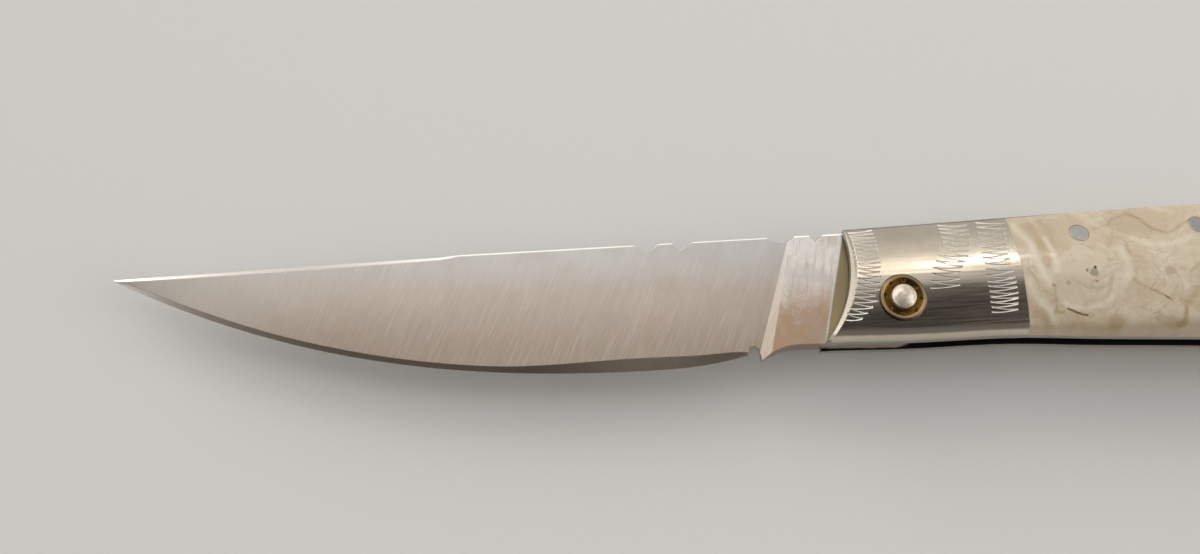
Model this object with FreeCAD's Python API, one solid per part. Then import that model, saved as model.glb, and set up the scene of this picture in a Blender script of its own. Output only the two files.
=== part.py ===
import FreeCAD, Part
import math
import os

# A friction folding pocket knife, drawn open and lying on its right side, in millimetres.
# x runs from the tip to the butt, y from the cutting edge to the back, z up through the thickness.
# Every piece is drawn about the pivot axis, and the whole knife is set on its rest plane at the end.

# Blade outline, in distances from the pivot
BLADE_REACH = 106.7
SPINE_HEIGHT = 10.78
SPINE_RISE = 0.32
SPINE_STRAIGHT = 57.3
SPINE_STEP = 0.1
SPINE_STEP_RUN = 4.1
TIP_DROP = 0.6
EDGE_DEPTH = 6.65
BELLY_X = 32.0
BELLY_POWER = 2.36
HEEL_RISE = 1.2
CHOIL_X = 19.65
CHOIL_WIDTH = 1.6
CHOIL_TOP = 4.25
KICK_DEPTH = 6.3
KICK_LEAN = 0.19
KICK_CURVE_RUN = 5.16
RICASSO_DEPTH = 4.6
TANG_RADIUS = 5.2
STOP_X = 2.0

# Blade section
BLADE_THICKNESS = 3.0
TIP_THICKNESS = 0.9
GRIND_STEP = 0.05
BEVEL_THICKNESS = 0.7
BEVEL_HEIGHT = 1.7
BEVEL_STATION_SHARES = (0.0, 0.04, 0.09, 0.2, 0.3, 0.4, 0.7, 0.92, 1.0)
BEVEL_HEIGHT_SHARES = (0.08, 0.6, 0.92, 1.0, 0.7, 0.45, 0.42, 0.42, 0.12)
EDGE_THICKNESS = 0.06
PLUNGE_BACK = 0.9
PLUNGE_LEAN = 4.6
PLUNGE_RUN_SHARE = 1.2
SPINE_CHAMFER = 0.3
SWEDGE_HEIGHT = 0.55
SWEDGE_FLAT_SHARE = 0.45
RICASSO_END_TOP = 5.75
RICASSO_END_BOTTOM = 9.95
RICASSO_SLOPE_TOP = 0.65
RICASSO_SLOPE_BOTTOM = 0.2
TANG_RELIEF = 0.15

# File work along the spine: the place of each notch, its run along the spine and its depth at the side
NOTCH_TILT_DEG = 20.0
FRONT_SCALLOP_X = 33.1
FRONT_SCALLOP_WIDTH = 3.6
FRONT_SCALLOP_DEPTH = 0.9
FRONT_VEE_X = 28.5
FRONT_VEE_STEEP_RUN = 1.1
FRONT_VEE_LONG_RUN = 2.35
FRONT_VEE_DEPTH = 1.3
REAR_SCALLOP_X = 14.4
REAR_SCALLOP_WIDTH = 3.9
REAR_SCALLOP_DEPTH = 0.7
REAR_VEE_X = 9.65
REAR_VEE_STEEP_RUN = 1.0
REAR_VEE_LONG_RUN = 1.3
REAR_VEE_DEPTH = 1.1

# Closing the knife
CLOSE_ANGLE_DEG = 178.0
KICK_GAP = 0.12
EDGE_GAP = 0.25
TANG_GAP = 0.35
STOP_GAP = 0.1
TIP_GAP = 2.5

# Handle
BACK_STEP = 0.17
BELLY_COVER = 0.1
SIDE_GAP = 0.1
LINER_THICKNESS = 1.2
SCALE_THICKNESS = 4.1
BOLSTER_REAR_X = 16.4
BOLSTER_LAP_TOP = 0.3
BOLSTER_LAP_BOTTOM = 0.75
BOLSTER_FRONT_SAG = 2.2
BOLSTER_CREST_CUT = 0.18
BOLSTER_CREST_Y = 2.9
BOLSTER_CROWN_RADIUS = 30.0
REST_FLAT_CUT = 0.15
BUTT_WALL = 9.2
BUTT_ROUND = 12.0
BUTT_END_FLAT = 0.12
SPACER_DEPTH = 5.6

# Side view and plan of the handle, at shares of the distance from the pivot to the butt:
# the back and the belly as shares of their heights at the pivot, the bulge as shares of its fullest
HANDLE_STATION_SHARES = (-0.12, 0.0, 0.14, 0.256, 0.368, 0.513, 0.667, 0.803, 0.9, 1.0)
BACK_SHARES = (0.972, 1.0, 1.028, 1.045, 1.046, 0.985, 0.815, 0.515, 0.14, -0.41)
BELLY_SHARES = (0.972, 1.0, 1.057, 1.245, 1.415, 1.70, 2.075, 2.51, 2.85, 3.17)
BULGE_SHARES = (0.819, 0.819, 0.824, 0.9, 0.965, 1.0, 0.978, 0.928, 0.884, 0.84)
# One side of the handle's section from the belly up to the back: height and bulge, and the bulge
# at the bolsters, whose lower half is crowned; one goes over into the other behind the bolsters
SECTION_HEIGHT_SHARES = (0.0, 0.02, 0.06, 0.13, 0.25, 0.38, 0.5, 0.66, 0.82, 0.94, 1.0)
SECTION_BULGE_SHARES = (0.52, 0.72, 0.87, 0.97, 0.995, 1.0, 0.975, 0.87, 0.72, 0.585, 0.47)
FRONT_BULGE_SHARES = (0.5, 0.66, 0.79, 0.872, 0.938, 0.98, 0.975, 0.87, 0.72, 0.585, 0.47)
SECTION_BLEND_RUN = 28.0
BUTT_BULGE_SHARE = 0.72
BUTT_STATION_SHARES = (0.25, 0.5, 0.7, 0.85, 0.95)
HANDLE_SPANS = 11

# Pivot and rosettes
PIVOT_RADIUS = 1.5
PIVOT_RUN_GAP = 0.05
PIVOT_HEAD_RADIUS = 1.62
PIVOT_HEAD_WALL = 0.78
PIVOT_HEAD_HEIGHT = 1.03
ROSETTE_RADIUS = 3.05
ROSETTE_RIM_HEIGHT = 0.15
ROSETTE_EDGE_FALL = 0.12
ROSETTE_RIM_WIDTH = 0.3
ROSETTE_CREST_SHARE = 0.6
ROSETTE_SEAT_FALL = 0.4
ROSETTE_SEAT_WIDTH = 0.2
ROSETTE_FIT = 0.08
ROSETTE_DOT_COUNT = 8
ROSETTE_DOT_TURN_SHARE = 0.8
ROSETTE_DOT_RADIUS = 0.33
ROSETTE_DOT_SINK = 0.19
WASHER_INSET = 0.7
WASHER_THICKNESS = 0.2

# Pins
PIN_FIT = 0.02
HANDLE_PIN_RADIUS = 1.22
HANDLE_PIN_COUNT = 6
HANDLE_PIN_FIRST_X = 25.4
HANDLE_PIN_LAST_FROM_BUTT = 11.8
HANDLE_PIN_DEPTH_SHARE = 0.37
DOWEL_RADIUS = 0.8
DOWEL_BITE = 1.3
DOWEL_RECESS = 0.02
DOWEL_FROM_REAR = 5.2
DOWEL_UPPER_Y = 6.2
DOWEL_LOWER_Y = -1.8

# Cutting solids run this far past what they cut; the ground faces are drawn at this many stations
OVERRUN = 2.0
BLADE_STATIONS = 16

# Sizes that follow from the ones above
BLADE_HALF = BLADE_THICKNESS / 2
TIP_HALF = TIP_THICKNESS / 2
BEVEL_HALF = BEVEL_THICKNESS / 2
EDGE_HALF = EDGE_THICKNESS / 2
SPINE_TOP = SPINE_HEIGHT + SPINE_RISE
TIP_Y = SPINE_TOP - TIP_DROP
HEEL_X = CHOIL_X + CHOIL_WIDTH / 2
KICK_X = CHOIL_X - CHOIL_WIDTH / 2 - KICK_LEAN
PLUNGE_EDGE_X = KICK_X - PLUNGE_BACK
PLUNGE_SPINE_X = PLUNGE_EDGE_X - PLUNGE_LEAN
WASHER_RADIUS = TANG_RADIUS - WASHER_INSET
BACK_HEIGHT = SPINE_HEIGHT + BACK_STEP
BELLY_DEPTH = TANG_RADIUS + BELLY_COVER
GAP_HALF = BLADE_HALF + SIDE_GAP
LINER_OUTER = GAP_HALF + LINER_THICKNESS
BULGE = LINER_OUTER + SCALE_THICKNESS
REST_HALF = BULGE - REST_FLAT_CUT
BOLSTER_FRONT_TOP = RICASSO_END_TOP + BOLSTER_LAP_TOP
BOLSTER_FRONT_BOTTOM = RICASSO_END_BOTTOM + BOLSTER_LAP_BOTTOM


def point(x, y, z=0.0):
    return FreeCAD.Vector(x, y, z)


def line(start, end):
    return Part.makeLine(start, end)


def arc(start, middle, end):
    return Part.Arc(start, middle, end).toShape()


def spline(points):
    curve = Part.BSplineCurve()
    curve.interpolate(points)
    return curve.toShape()


def outline(points):
    """Closed wire of straight runs."""
    return Part.makePolygon(list(points) + [points[0]])


def prism(wire, low, high):
    """Solid between two heights over a flat closed wire."""
    face = Part.Face(wire)
    face.translate(point(0, 0, low))
    return face.extrude(point(0, 0, high - low))


def upright(x, y, radius, low, high):
    """Round bar along z."""
    return Part.makeCylinder(radius, high - low, point(x, y, low))


def turned(profile):
    """Solid turned about the pivot axis from (radius, height) points."""
    wire = outline([point(radius, 0, height) for radius, height in profile])
    return Part.Face(wire).revolve(point(0, 0, 0), point(0, 0, 1), 360)


def other_side(shape):
    return shape.mirror(point(0, 0, 0), point(0, 0, 1))


def between(low, high, share):
    return low + (high - low) * share


def through(place, places, values):
    """Smooth curve through the values, read at a place."""
    last = len(places) - 1
    i = max(k for k in range(last) if k == 0 or places[k] <= place)
    slopes = []
    for k in (i, i + 1):
        before, after = max(k - 1, 0), min(k + 1, last)
        slopes.append((values[after] - values[before]) / (places[after] - places[before]))
    span = places[i + 1] - places[i]
    t = (place - places[i]) / span
    rise = t * t * (3 - 2 * t)
    ease = t * (1 - t)
    return between(values[i], values[i + 1], rise) + span * ease * ((1 - t) * slopes[0] - t * slopes[1])


def folded(x, y):
    """Where a point of the open blade lies once the blade is folded away."""
    turn = math.radians(CLOSE_ANGLE_DEG)
    return (
        x * math.cos(turn) - y * math.sin(turn),
        x * math.sin(turn) + y * math.cos(turn),
    )


# Blade

def edge_y(reach):
    """Height of the cutting edge at a distance from the pivot."""
    if reach < BELLY_X:
        return -EDGE_DEPTH + HEEL_RISE * ((BELLY_X - reach) / (BELLY_X - HEEL_X)) ** 2
    sweep = (min(reach, BLADE_REACH) - BELLY_X) / (BLADE_REACH - BELLY_X)
    return -EDGE_DEPTH + (EDGE_DEPTH + TIP_Y) * sweep ** BELLY_POWER


def spine_y(reach):
    """Height of the spine: a straight part, then past a small step a fall to the tip."""
    if reach <= SPINE_STRAIGHT:
        return between(SPINE_HEIGHT, SPINE_TOP, reach / SPINE_STRAIGHT)
    foot = SPINE_STRAIGHT + SPINE_STEP_RUN
    return between(SPINE_TOP - SPINE_STEP, TIP_Y, (reach - foot) / (BLADE_REACH - foot))


def spine_half(reach):
    """Half the blade's thickness at the spine, tapering to the tip."""
    share = (reach - PLUNGE_SPINE_X) / (BLADE_REACH - PLUNGE_SPINE_X)
    return between(BLADE_HALF - GRIND_STEP, TIP_HALF, share)


def bevel_height(reach):
    share = (min(max(reach, HEEL_X), BLADE_REACH) - HEEL_X) / (BLADE_REACH - HEEL_X)
    return BEVEL_HEIGHT * through(share, BEVEL_STATION_SHARES, BEVEL_HEIGHT_SHARES)


def stations(start, end):
    return [between(start, end, i / BLADE_STATIONS) for i in range(BLADE_STATIONS + 1)]


def side_cutter(start, end, cut_line):
    """Solid that takes away all that stands outside a line, drawn section by section."""
    sections = []
    for reach in stations(start, end):
        (low_y, low_z), (high_y, high_z) = cut_line(reach)
        far = BLADE_THICKNESS + OVERRUN
        corners = ((low_y, low_z), (high_y, high_z), (high_y, far), (low_y, far))
        sections.append(outline([point(-reach, y, z) for y, z in corners]))
    return Part.makeLoft(sections, True, False)


def grind_line(reach):
    """The ground side: from the spine down to the shoulder of the edge bevel, run past both."""
    shoulder = edge_y(reach) + bevel_height(reach)
    slope = (spine_half(reach) - BEVEL_HALF) / (SPINE_TOP - shoulder)
    low_y = -EDGE_DEPTH - OVERRUN
    high_y = SPINE_TOP + OVERRUN
    low_z = BEVEL_HALF - slope * (shoulder - low_y)
    return (low_y, low_z), (high_y, spine_half(reach) + slope * OVERRUN)


def bevel_line(reach):
    """The edge bevel: from the edge up past its shoulder."""
    height = bevel_height(reach)
    slope = (BEVEL_HALF - EDGE_HALF) / height
    low = edge_y(reach)
    return (
        (low - height, EDGE_HALF - slope * height),
        (low + height + height, BEVEL_HALF + slope * height),
    )


def plunge_guard():
    """Keeps the grind off the ricasso: its front leans forward as it goes in from the side face."""
    sections = []
    for height in (-OVERRUN, BLADE_HALF + OVERRUN):
        run = (BLADE_HALF - height) * PLUNGE_RUN_SHARE
        rear = TANG_RADIUS + OVERRUN
        lean = (PLUNGE_EDGE_X - PLUNGE_SPINE_X) / (SPINE_HEIGHT + EDGE_DEPTH)
        reach = OVERRUN + OVERRUN
        high, low = SPINE_HEIGHT + reach, -EDGE_DEPTH - reach
        corners = (
            point(-PLUNGE_SPINE_X - run + lean * reach, high, height),
            point(-PLUNGE_EDGE_X - run - lean * reach, low, height),
            point(rear, low, height),
            point(rear, high, height),
        )
        sections.append(outline(corners))
    return Part.makeLoft(sections, True, True)


def spine_chamfer():
    """Breaks the corner of the spine along its straight part."""
    sections = []
    for reach, half in (
        (-TANG_RADIUS, BLADE_HALF),
        (PLUNGE_SPINE_X, BLADE_HALF),
        (SPINE_STRAIGHT + SPINE_STEP_RUN, spine_half(SPINE_STRAIGHT + SPINE_STEP_RUN)),
    ):
        top = between(SPINE_HEIGHT, SPINE_TOP, reach / SPINE_STRAIGHT)
        corners = (
            (top - SPINE_CHAMFER - OVERRUN, half + OVERRUN),
            (top + OVERRUN, half - SPINE_CHAMFER - OVERRUN),
            (top + OVERRUN, half + OVERRUN),
        )
        sections.append(outline([point(-reach, y, z) for y, z in corners]))
    return Part.makeLoft(sections, True, True)


def swedge_cutter():
    """Thins the spine ahead of its straight part, running in over the step."""
    foot = SPINE_STRAIGHT + SPINE_STEP_RUN
    sections = []
    for reach, top in (
        (SPINE_STRAIGHT, SPINE_TOP + SWEDGE_HEIGHT),
        (foot, spine_y(foot)),
        (BLADE_REACH + OVERRUN, spine_y(BLADE_REACH + OVERRUN)),
    ):
        full = spine_half(reach)
        flat = full * SWEDGE_FLAT_SHARE
        slope = (full - flat) / SWEDGE_HEIGHT
        far = BLADE_THICKNESS
        corners = (
            (top + OVERRUN, flat),
            (top, flat),
            (top - SWEDGE_HEIGHT - (far - full) / slope, far),
            (top + OVERRUN, far),
        )
        sections.append(outline([point(-reach, y, z) for y, z in corners]))
    return Part.makeLoft(sections, True, True)


def scallop(x, width, depth):
    """Round notch filed across one corner of the spine, deepest at the left side face."""
    radius = (width * width / 4 + depth * depth) / (2 * depth)
    tilt = math.radians(NOTCH_TILT_DEG)
    axis = point(0, -math.sin(tilt), math.cos(tilt))
    length = BLADE_THICKNESS + OVERRUN
    start = point(-x, spine_y(x) + radius - depth, BLADE_HALF) - axis * length
    return Part.makeCylinder(radius, length + OVERRUN, start, axis)


def vee(x, steep_run, long_run, depth):
    """Notch with a steep front filed across one corner of the spine, deepest at the left side face."""
    tilt = math.radians(NOTCH_TILT_DEG)
    axis = point(0, -math.sin(tilt), math.cos(tilt))
    length = BLADE_THICKNESS + OVERRUN
    root = point(-x, spine_y(x) - depth, BLADE_HALF) - axis * length
    top = OVERRUN + depth
    corners = (
        root,
        root + point(top * long_run / depth, top),
        root + point(-top * steep_run / depth, top),
    )
    return Part.Face(outline(corners)).extrude(axis * (length + OVERRUN))


def blade_outline():
    kick_start = point(-KICK_X + KICK_CURVE_RUN, -RICASSO_DEPTH)
    kick = point(-KICK_X, -KICK_DEPTH)
    drop = KICK_DEPTH - RICASSO_DEPTH
    radius = (KICK_CURVE_RUN ** 2 + drop ** 2) / (2 * drop)
    half_turn = math.asin(KICK_CURVE_RUN / radius) / 2
    kick_middle = kick_start - point(radius * math.sin(half_turn), radius * (1 - math.cos(half_turn)))
    choil_y = -CHOIL_TOP - CHOIL_WIDTH / 2
    choil_rear = point(-CHOIL_X + CHOIL_WIDTH / 2, choil_y)
    choil_top = point(-CHOIL_X, -CHOIL_TOP)
    choil_front = point(-HEEL_X, choil_y)
    edge = [point(-reach, edge_y(reach)) for reach in stations(HEEL_X, BLADE_REACH)]
    tip = edge[-1]
    step_foot = point(-SPINE_STRAIGHT - SPINE_STEP_RUN, SPINE_TOP - SPINE_STEP)
    step_head = point(-SPINE_STRAIGHT, SPINE_TOP)
    stop_top = point(-STOP_X, spine_y(STOP_X))
    stop_low = point(-STOP_X, math.sqrt(TANG_RADIUS ** 2 - STOP_X ** 2))
    tang_rear = point(TANG_RADIUS, 0)
    tang_low = point(0, -TANG_RADIUS)
    return Part.Wire([
        line(tip, step_foot),
        line(step_foot, step_head),
        line(step_head, stop_top),
        line(stop_top, stop_low),
        arc(stop_low, tang_rear, tang_low),
        line(tang_low, kick_start),
        arc(kick_start, kick_middle, kick),
        line(kick, choil_rear),
        arc(choil_rear, choil_top, choil_front),
        line(choil_front, edge[0]),
        spline(edge),
    ])


def tang_relief():
    """Takes the left side face down behind the ricasso, over a short slope, to clear the washer."""
    sections = []
    for height, slope_share in ((BLADE_HALF - TANG_RELIEF, 0), (BLADE_HALF + TANG_RELIEF, 2)):
        top = point(-RICASSO_END_TOP - RICASSO_SLOPE_TOP * slope_share, SPINE_HEIGHT, height)
        bottom = point(-RICASSO_END_BOTTOM - RICASSO_SLOPE_BOTTOM * slope_share, -RICASSO_DEPTH, height)
        past = (top - bottom).normalize() * (OVERRUN + OVERRUN)
        rear = TANG_RADIUS + OVERRUN
        high, low = top + past, bottom - past
        sections.append(outline((high, low, point(rear, low.y, height), point(rear, high.y, height))))
    return Part.makeLoft(sections, True, True)


def blade():
    body = prism(blade_outline(), -BLADE_HALF, BLADE_HALF)
    end = BLADE_REACH + OVERRUN
    grind = side_cutter(PLUNGE_SPINE_X - OVERRUN, end, grind_line).cut(plunge_guard())
    cutters = [
        grind,
        side_cutter(CHOIL_X, end, bevel_line),
        spine_chamfer(),
        swedge_cutter(),
        tang_relief(),
        scallop(FRONT_SCALLOP_X, FRONT_SCALLOP_WIDTH, FRONT_SCALLOP_DEPTH),
        vee(FRONT_VEE_X, FRONT_VEE_STEEP_RUN, FRONT_VEE_LONG_RUN, FRONT_VEE_DEPTH),
        scallop(REAR_SCALLOP_X, REAR_SCALLOP_WIDTH, REAR_SCALLOP_DEPTH),
        vee(REAR_VEE_X, REAR_VEE_STEEP_RUN, REAR_VEE_LONG_RUN, REAR_VEE_DEPTH),
    ]
    for cutter in cutters:
        body = body.cut(cutter)
        body = body.cut(other_side(cutter))
    bore = upright(0, 0, PIVOT_RADIUS + PIVOT_RUN_GAP, -BLADE_THICKNESS, BLADE_THICKNESS)
    return body.cut(bore)


# Handle, ground to one shape after assembly: one block that the pieces are sliced from

FOLDED_TIP_X, FOLDED_TIP_Y = folded(-BLADE_REACH, TIP_Y)
WELL_END_X = FOLDED_TIP_X + TIP_GAP
BUTT_X = WELL_END_X + BUTT_WALL


def back_y(x):
    return BACK_HEIGHT * through(x / BUTT_X, HANDLE_STATION_SHARES, BACK_SHARES)


def belly_y(x):
    return -BELLY_DEPTH * through(x / BUTT_X, HANDLE_STATION_SHARES, BELLY_SHARES)


def bulge(x):
    return BULGE * through(x / BUTT_X, HANDLE_STATION_SHARES, BULGE_SHARES)


def section_bulge_shares(x):
    past = min(max(x - BOLSTER_REAR_X, 0) / SECTION_BLEND_RUN, 1)
    ease_share = (1 - math.cos(math.pi * past)) / 2
    return [between(a, b, ease_share) for a, b in zip(FRONT_BULGE_SHARES, SECTION_BULGE_SHARES)]


def handle_section(x):
    """Closed section of the handle, drawn in towards its middle where the butt rounds off."""
    past = max(0, x - (BUTT_X - BUTT_ROUND)) / BUTT_ROUND
    draw_in = math.sqrt(1 - past * past)
    middle = (back_y(x) + belly_y(x)) / 2
    height = (back_y(x) - belly_y(x)) * draw_in
    width = bulge(x) * between(BUTT_BULGE_SHARE, 1, draw_in)
    left = []
    for height_share, bulge_share in zip(SECTION_HEIGHT_SHARES, section_bulge_shares(x)):
        left.append(point(x, middle + height * between(-1, 1, height_share) / 2, width * bulge_share))
    right = [point(x, corner.y, -corner.z) for corner in reversed(left)]
    return Part.Wire([
        spline(left),
        line(left[-1], right[0]),
        spline(right),
        line(right[-1], left[0]),
    ])


def crown_fall(y):
    """How far the crowned outside of a bolster lies below its crest at a height in side view."""
    return BOLSTER_CROWN_RADIUS - math.sqrt(BOLSTER_CROWN_RADIUS ** 2 - (BOLSTER_CREST_Y - y) ** 2)


def handle_block():
    front = -BOLSTER_FRONT_BOTTOM - OVERRUN
    round_start = BUTT_X - BUTT_ROUND
    places = [between(front, round_start, i / HANDLE_SPANS) for i in range(HANDLE_SPANS + 1)]
    places += [between(round_start, BUTT_X, share) for share in BUTT_STATION_SHARES]
    places.append(BUTT_X - BUTT_END_FLAT)
    return Part.makeLoft([handle_section(x) for x in places], True, False)


BLOCK = handle_block()
BLOCK_BOX = BLOCK.optimalBoundingBox(False, False)
FAR_REAR = BLOCK_BOX.XMax + OVERRUN
FAR_HIGH = BLOCK_BOX.YMax + OVERRUN
FAR_LOW = BLOCK_BOX.YMin - OVERRUN
BOLSTER_CREST_Z = bulge(0) - BOLSTER_CREST_CUT
ROSETTE_TOP_Z = BOLSTER_CREST_Z + ROSETTE_RIM_HEIGHT
ROSETTE_SEAT_Z = ROSETTE_TOP_Z - ROSETTE_SEAT_FALL
ROSETTE_BORE_RADIUS = ROSETTE_RADIUS + ROSETTE_FIT
ROSETTE_BASE_Z = BOLSTER_CREST_Z - crown_fall(-ROSETTE_BORE_RADIUS)


def front_edge():
    """Curved front of the bolsters and liners, from above the back to below the belly."""
    top = point(-BOLSTER_FRONT_TOP, BACK_HEIGHT)
    bottom = point(-BOLSTER_FRONT_BOTTOM, -BELLY_DEPTH)
    chord = bottom - top
    inward = point(-chord.y, chord.x).normalize()
    middle = top + chord / 2 + inward * BOLSTER_FRONT_SAG
    high = point(top.x, FAR_HIGH)
    low = point(bottom.x, FAR_LOW)
    return [line(high, top), arc(top, middle, bottom), line(bottom, low)]


def front_region(rear):
    """Outline in side view from the curved front edge back to a straight rear edge."""
    edges = front_edge()
    start = edges[0].Vertexes[0].Point
    end = edges[-1].Vertexes[-1].Point
    edges += [
        line(end, point(rear, end.y)),
        line(point(rear, end.y), point(rear, start.y)),
        line(point(rear, start.y), start),
    ]
    return Part.Wire(edges)


def folded_edge_y(x):
    """Height of the cutting edge of the folded blade."""
    reach = min(max(x, HEEL_X), BLADE_REACH)
    return folded(-reach, edge_y(reach))[1]


def spacer_inner_y(x):
    """Underside of the back spacer, clear of the tang, the kick and the folded edge."""
    kick_y = folded(-KICK_X, -KICK_DEPTH)[1]
    clear = [folded_edge_y(x) + EDGE_GAP, back_y(x) - SPACER_DEPTH]
    if x < BELLY_X:
        clear += [TANG_RADIUS + TANG_GAP, kick_y + KICK_GAP]
    return max(clear)


def handle_pin_places():
    last = BUTT_X - HANDLE_PIN_LAST_FROM_BUTT
    places = []
    for i in range(HANDLE_PIN_COUNT):
        x = between(HANDLE_PIN_FIRST_X, last, i / (HANDLE_PIN_COUNT - 1))
        places.append((x, between(spacer_inner_y(x), back_y(x), HANDLE_PIN_DEPTH_SHARE)))
    return places


def dowel_places():
    x = BOLSTER_REAR_X - DOWEL_FROM_REAR
    return [(x, DOWEL_UPPER_Y), (x, DOWEL_LOWER_Y)]


def drilled(shape, places, radius):
    """The shape with round holes right through it along z."""
    reach = BULGE + OVERRUN
    for x, y in places:
        shape = shape.cut(upright(x, y, radius, -reach, reach))
    return shape


def liner():
    plate = BLOCK.common(prism(front_region(FAR_REAR), GAP_HALF, LINER_OUTER))
    plate = drilled(plate, handle_pin_places(), HANDLE_PIN_RADIUS + PIN_FIT)
    plate = drilled(plate, dowel_places(), DOWEL_RADIUS + PIN_FIT)
    return drilled(plate, [(0, 0)], PIVOT_RADIUS + PIN_FIT)


def bolster():
    """Cheek crowned below its crease, with a shallow bore that the rosette sits in."""
    outside = BULGE + OVERRUN
    cheek = BLOCK.common(prism(front_region(BOLSTER_REAR_X), LINER_OUTER, outside))
    front = point(BLOCK_BOX.XMin - OVERRUN, BOLSTER_CREST_Y, BOLSTER_CREST_Z - BOLSTER_CROWN_RADIUS)
    crown = Part.makeCylinder(BOLSTER_CROWN_RADIUS, BLOCK_BOX.XLength, front, point(1, 0, 0))
    cheek = cheek.common(crown).cut(upright(0, 0, ROSETTE_BORE_RADIUS, ROSETTE_BASE_Z, outside))
    for x, y in dowel_places():
        end = LINER_OUTER + DOWEL_BITE + PIN_FIT
        cheek = cheek.cut(upright(x, y, DOWEL_RADIUS + PIN_FIT, LINER_OUTER - OVERRUN, end))
    return drilled(cheek, [(0, 0)], PIVOT_RADIUS + PIN_FIT)


def scale():
    corners = (
        point(BOLSTER_REAR_X, FAR_LOW),
        point(FAR_REAR, FAR_LOW),
        point(FAR_REAR, FAR_HIGH),
        point(BOLSTER_REAR_X, FAR_HIGH),
    )
    slab = BLOCK.common(prism(outline(corners), LINER_OUTER, REST_HALF))
    return drilled(slab, handle_pin_places(), HANDLE_PIN_RADIUS + PIN_FIT)


def back_spacer():
    """Bar between the liners along the back, closed at the butt: the open blade stops on its front end."""
    front = -STOP_X + STOP_GAP
    reaches = [between(front, WELL_END_X, i / HANDLE_SPANS) for i in range(HANDLE_SPANS + 1)]
    inner = [point(x, spacer_inner_y(x)) for x in reaches]
    corners = (
        inner[-1],
        point(WELL_END_X, FAR_LOW),
        point(FAR_REAR, FAR_LOW),
        point(FAR_REAR, FAR_HIGH),
        point(front, FAR_HIGH),
        inner[0],
    )
    edges = [line(a, b) for a, b in zip(corners, corners[1:])]
    wire = Part.Wire([spline(inner)] + edges)
    bar = BLOCK.common(prism(wire, -GAP_HALF, GAP_HALF))
    return drilled(bar, handle_pin_places(), HANDLE_PIN_RADIUS + PIN_FIT)


def handle_pin(x, y):
    """Pin right through the handle, ground flush with both scales."""
    rest = upright(x, y, HANDLE_PIN_RADIUS, -REST_HALF, REST_HALF)
    return BLOCK.common(rest)


def bolster_dowels():
    """Blind pins that hold a bolster to its liner."""
    low = GAP_HALF + DOWEL_RECESS
    high = LINER_OUTER + DOWEL_BITE
    return Part.makeCompound([upright(x, y, DOWEL_RADIUS, low, high) for x, y in dowel_places()])


# Pivot

def pivot_pin():
    """Shaft with a domed head peened over the rosette at each end."""
    head_low = ROSETTE_SEAT_Z
    wall_high = head_low + PIVOT_HEAD_WALL
    dome = ROSETTE_TOP_Z + PIVOT_HEAD_HEIGHT - wall_high
    dome_radius = (PIVOT_HEAD_RADIUS ** 2 + dome ** 2) / (2 * dome)
    half_turn = math.asin(PIVOT_HEAD_RADIUS / dome_radius) / 2
    crown = point(0, 0, wall_high + dome)
    fall = dome_radius * (1 - math.cos(half_turn))
    dome_middle = crown + point(dome_radius * math.sin(half_turn), 0, -fall)
    corners = (
        point(0, 0, 0),
        point(PIVOT_RADIUS, 0, 0),
        point(PIVOT_RADIUS, 0, head_low),
        point(PIVOT_HEAD_RADIUS, 0, head_low),
        point(PIVOT_HEAD_RADIUS, 0, wall_high),
    )
    edges = [line(a, b) for a, b in zip(corners, corners[1:])]
    edges += [arc(corners[-1], dome_middle, crown), line(crown, corners[0])]
    half = Part.Face(Part.Wire(edges)).revolve(point(0, 0, 0), point(0, 0, 1), 360)
    return half.fuse(other_side(half)).removeSplitter()


def rosette():
    """Dished ring under the pivot head, with a raised rim and a circle of punched dots."""
    hole = PIVOT_RADIUS + PIN_FIT
    rim = ROSETTE_RADIUS - ROSETTE_RIM_WIDTH
    seat = PIVOT_HEAD_RADIUS + ROSETTE_SEAT_WIDTH
    ring = turned((
        (hole, ROSETTE_BASE_Z),
        (ROSETTE_RADIUS, ROSETTE_BASE_Z),
        (ROSETTE_RADIUS, ROSETTE_TOP_Z - ROSETTE_EDGE_FALL),
        (between(rim, ROSETTE_RADIUS, ROSETTE_CREST_SHARE), ROSETTE_TOP_Z),
        (rim, ROSETTE_TOP_Z),
        (seat, ROSETTE_SEAT_Z),
        (hole, ROSETTE_SEAT_Z),
    ))
    dot_circle = (rim + seat) / 2
    dot_z = (ROSETTE_TOP_Z + ROSETTE_SEAT_Z) / 2 + ROSETTE_DOT_RADIUS - ROSETTE_DOT_SINK
    for i in range(ROSETTE_DOT_COUNT):
        turn = 2 * math.pi * (i + ROSETTE_DOT_TURN_SHARE) / ROSETTE_DOT_COUNT
        centre = point(dot_circle * math.cos(turn), dot_circle * math.sin(turn), dot_z)
        ring = ring.cut(Part.makeSphere(ROSETTE_DOT_RADIUS, centre))
    return ring


def pivot_washer():
    low = GAP_HALF - WASHER_THICKNESS
    disc = upright(0, 0, WASHER_RADIUS, low, GAP_HALF)
    return drilled(disc, [(0, 0)], PIVOT_RADIUS + PIN_FIT)


def pieces():
    made = {
        "blade": blade(),
        "back_spacer": back_spacer(),
        "pivot_pin": pivot_pin(),
    }
    for i, (x, y) in enumerate(handle_pin_places()):
        made[f"handle_pin_{i + 1}"] = handle_pin(x, y)
    pairs = {
        "liner": liner(),
        "bolster": bolster(),
        "scale": scale(),
        "rosette": rosette(),
        "pivot_washer": pivot_washer(),
        "bolster_dowels": bolster_dowels(),
    }
    for name, left in pairs.items():
        made["left_" + name] = left
        made["right_" + name] = other_side(left)
    return made


# Set down: the middle of the open knife over the origin, its right side's flat on z = 0
SET_DOWN = point(
    -(BUTT_X - BUTT_END_FLAT - BLADE_REACH) / 2,
    -(BLOCK_BOX.YMax + BLOCK_BOX.YMin) / 2,
    REST_HALF,
)

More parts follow.
